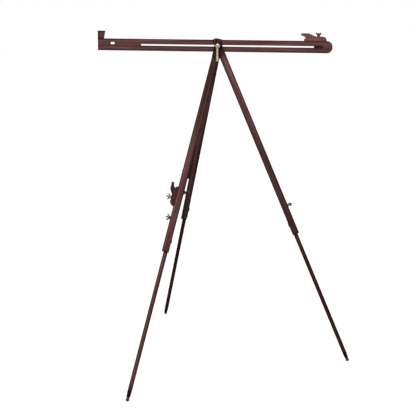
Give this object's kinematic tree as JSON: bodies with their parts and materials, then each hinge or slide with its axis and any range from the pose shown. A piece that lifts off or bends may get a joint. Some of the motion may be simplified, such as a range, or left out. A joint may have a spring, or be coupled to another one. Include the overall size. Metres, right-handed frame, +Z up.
{
  "type": "wooden artist easel",
  "caption": "Folding wooden field easel: tripod with telescopic legs, a slotted tilting beam with a fixed lip, sliding hooked claws, wing nuts and a brass clamping lever.",
  "frame": {"origin": "on the floor, under the middle of the easel's length and width", "axes": "+Z up; the beam runs along X with its lip at the -X end; -Y is the side of the clamping lever"},
  "size_m": [1.019, 0.9806, 1.3097],
  "materials": {
    "wood": "dark reddish stain under satin varnish",
    "bright_brass": "pale, polished",
    "nut_brass": "aged, dark in the recesses",
    "dark_steel": "blackened",
    "slot_plate": "matt black",
    "foot": "glossy red-brown"
  },
  "bodies": {
    "rear_leg": {"rear_upper_leg": "wood", "rear_keeper": "dark_steel", "rear_keeper_screws": "dark_steel", "rear_clamp_bolt": "dark_steel", "rear_clamp_washer": "dark_steel"},
    "rear_extension": {"rear_lower_leg": "wood", "rear_foot": "foot"},
    "rear_clamp_wing": {"rear_clamp_wing_nut": "nut_brass"},
    "pivot": {"pivot_bolt": "dark_steel", "pivot_washers": "dark_steel"},
    "lever": {"clamp_lever": "bright_brass"},
    "beam": {"beam": "wood", "canvas_lip": "wood", "lip_screws": "dark_steel"},
    "beam_claw": {"beam_claw": "wood", "beam_claw_bolt": "nut_brass", "beam_claw_plate": "slot_plate", "beam_claw_washer": "dark_steel"},
    "beam_claw_wing": {"beam_claw_wing_nut": "dark_steel"},
    "right_head": {"right_cheek": "wood", "right_knuckle_pin": "dark_steel"},
    "right_leg": {"right_upper_leg": "wood", "right_keeper": "dark_steel", "right_keeper_screws": "dark_steel", "right_clamp_bolt": "dark_steel", "right_clamp_washer": "dark_steel"},
    "right_extension": {"right_lower_leg": "wood", "right_foot": "foot"},
    "right_clamp_wing": {"right_clamp_wing_nut": "nut_brass"},
    "right_claw": {"right_claw": "wood", "right_claw_bolt": "dark_steel", "right_claw_washer": "dark_steel"},
    "right_claw_wing": {"right_claw_wing_nut": "nut_brass"},
    "left_head": {"left_cheek": "wood", "left_knuckle_pin": "dark_steel"},
    "left_leg": {"left_upper_leg": "wood", "left_keeper": "dark_steel", "left_keeper_screws": "dark_steel", "left_clamp_bolt": "dark_steel", "left_clamp_washer": "dark_steel"},
    "left_extension": {"left_lower_leg": "wood", "left_foot": "foot"},
    "left_clamp_wing": {"left_clamp_wing_nut": "nut_brass"},
    "left_claw": {"left_claw": "wood", "left_claw_bolt": "dark_steel", "left_claw_washer": "dark_steel"},
    "left_claw_wing": {"left_claw_wing_nut": "nut_brass"}
  },
  "joints": [
    {"name": "beam_tilt", "type": "hinge", "parent": "rear_leg", "child": "pivot", "pos_m": [-0.04155, 0, 1.256], "axis": [0, -1, 0], "range_deg": [-35, 90]},
    {"name": "beam_slide", "type": "slide", "parent": "pivot", "child": "beam", "axis": [1, 0, 0], "range_m": [-0.165, 0.285]},
    {"name": "lever_turn", "type": "hinge", "parent": "pivot", "child": "lever", "pos_m": [-0.04155, 0, 1.256], "axis": [0, -1, 0], "range_deg": [0, 110]},
    {"name": "beam_claw_slide", "type": "slide", "parent": "beam", "child": "beam_claw", "axis": [1, 0, 0], "range_m": [-0.165, 0]},
    {"name": "beam_claw_nut_turn", "type": "hinge", "parent": "beam_claw", "child": "beam_claw_wing", "pos_m": [0.33775, 0, 1.2785], "axis": [0, 0, 1], "continuous": true},
    {"name": "rear_leg_slide", "type": "slide", "parent": "rear_leg", "child": "rear_extension", "axis": [-0.4003, 0, 0.9164], "range_m": [-0.055, 0.47]},
    {"name": "rear_clamp_nut_turn", "type": "hinge", "parent": "rear_leg", "child": "rear_clamp_wing", "pos_m": [0.24093, 0, 0.64065], "axis": [0.9164, 0, 0.4003], "continuous": true},
    {"name": "right_head_swing", "type": "hinge", "parent": "rear_leg", "child": "right_head", "pos_m": [-0.04155, -0.0259, 1.256], "axis": [0, -1, 0], "range_deg": [0, 35]},
    {"name": "right_leg_splay", "type": "hinge", "parent": "right_head", "child": "right_leg", "pos_m": [-0.05357, -0.0259, 1.20131], "axis": [0.9767, 0, -0.2147], "range_deg": [0, 20.5]},
    {"name": "right_leg_slide", "type": "slide", "parent": "right_leg", "child": "right_extension", "axis": [0.2011, 0.3502, 0.9148], "range_m": [-0.055, 0.47]},
    {"name": "right_claw_slide", "type": "slide", "parent": "right_leg", "child": "right_claw", "axis": [0.2011, 0.3502, 0.9148], "range_m": [-0.02, 0.2]},
    {"name": "right_clamp_nut_turn", "type": "hinge", "parent": "right_leg", "child": "right_clamp_wing", "pos_m": [-0.19188, -0.24546, 0.63045], "axis": [-0.9767, 0, 0.2147], "continuous": true},
    {"name": "right_claw_nut_turn", "type": "hinge", "parent": "right_claw", "child": "right_claw_wing", "pos_m": [-0.1766, -0.21885, 0.69997], "axis": [-0.9767, 0, 0.2147], "continuous": true},
    {"name": "left_head_swing", "type": "hinge", "parent": "rear_leg", "child": "left_head", "pos_m": [-0.04155, 0.0259, 1.256], "axis": [0, -1, 0], "range_deg": [0, 35]},
    {"name": "left_leg_splay", "type": "hinge", "parent": "left_head", "child": "left_leg", "pos_m": [-0.05357, 0.0259, 1.20131], "axis": [-0.9767, 0, 0.2147], "range_deg": [0, 20.5]},
    {"name": "left_leg_slide", "type": "slide", "parent": "left_leg", "child": "left_extension", "axis": [0.2011, -0.3502, 0.9148], "range_m": [-0.055, 0.47]},
    {"name": "left_claw_slide", "type": "slide", "parent": "left_leg", "child": "left_claw", "axis": [0.2011, -0.3502, 0.9148], "range_m": [-0.02, 0.2]},
    {"name": "left_clamp_nut_turn", "type": "hinge", "parent": "left_leg", "child": "left_clamp_wing", "pos_m": [-0.19188, 0.24546, 0.63045], "axis": [-0.9767, 0, 0.2147], "continuous": true},
    {"name": "left_claw_nut_turn", "type": "hinge", "parent": "left_claw", "child": "left_claw_wing", "pos_m": [-0.17036, 0.20799, 0.72833], "axis": [-0.9767, 0, 0.2147], "continuous": true}
  ]
}
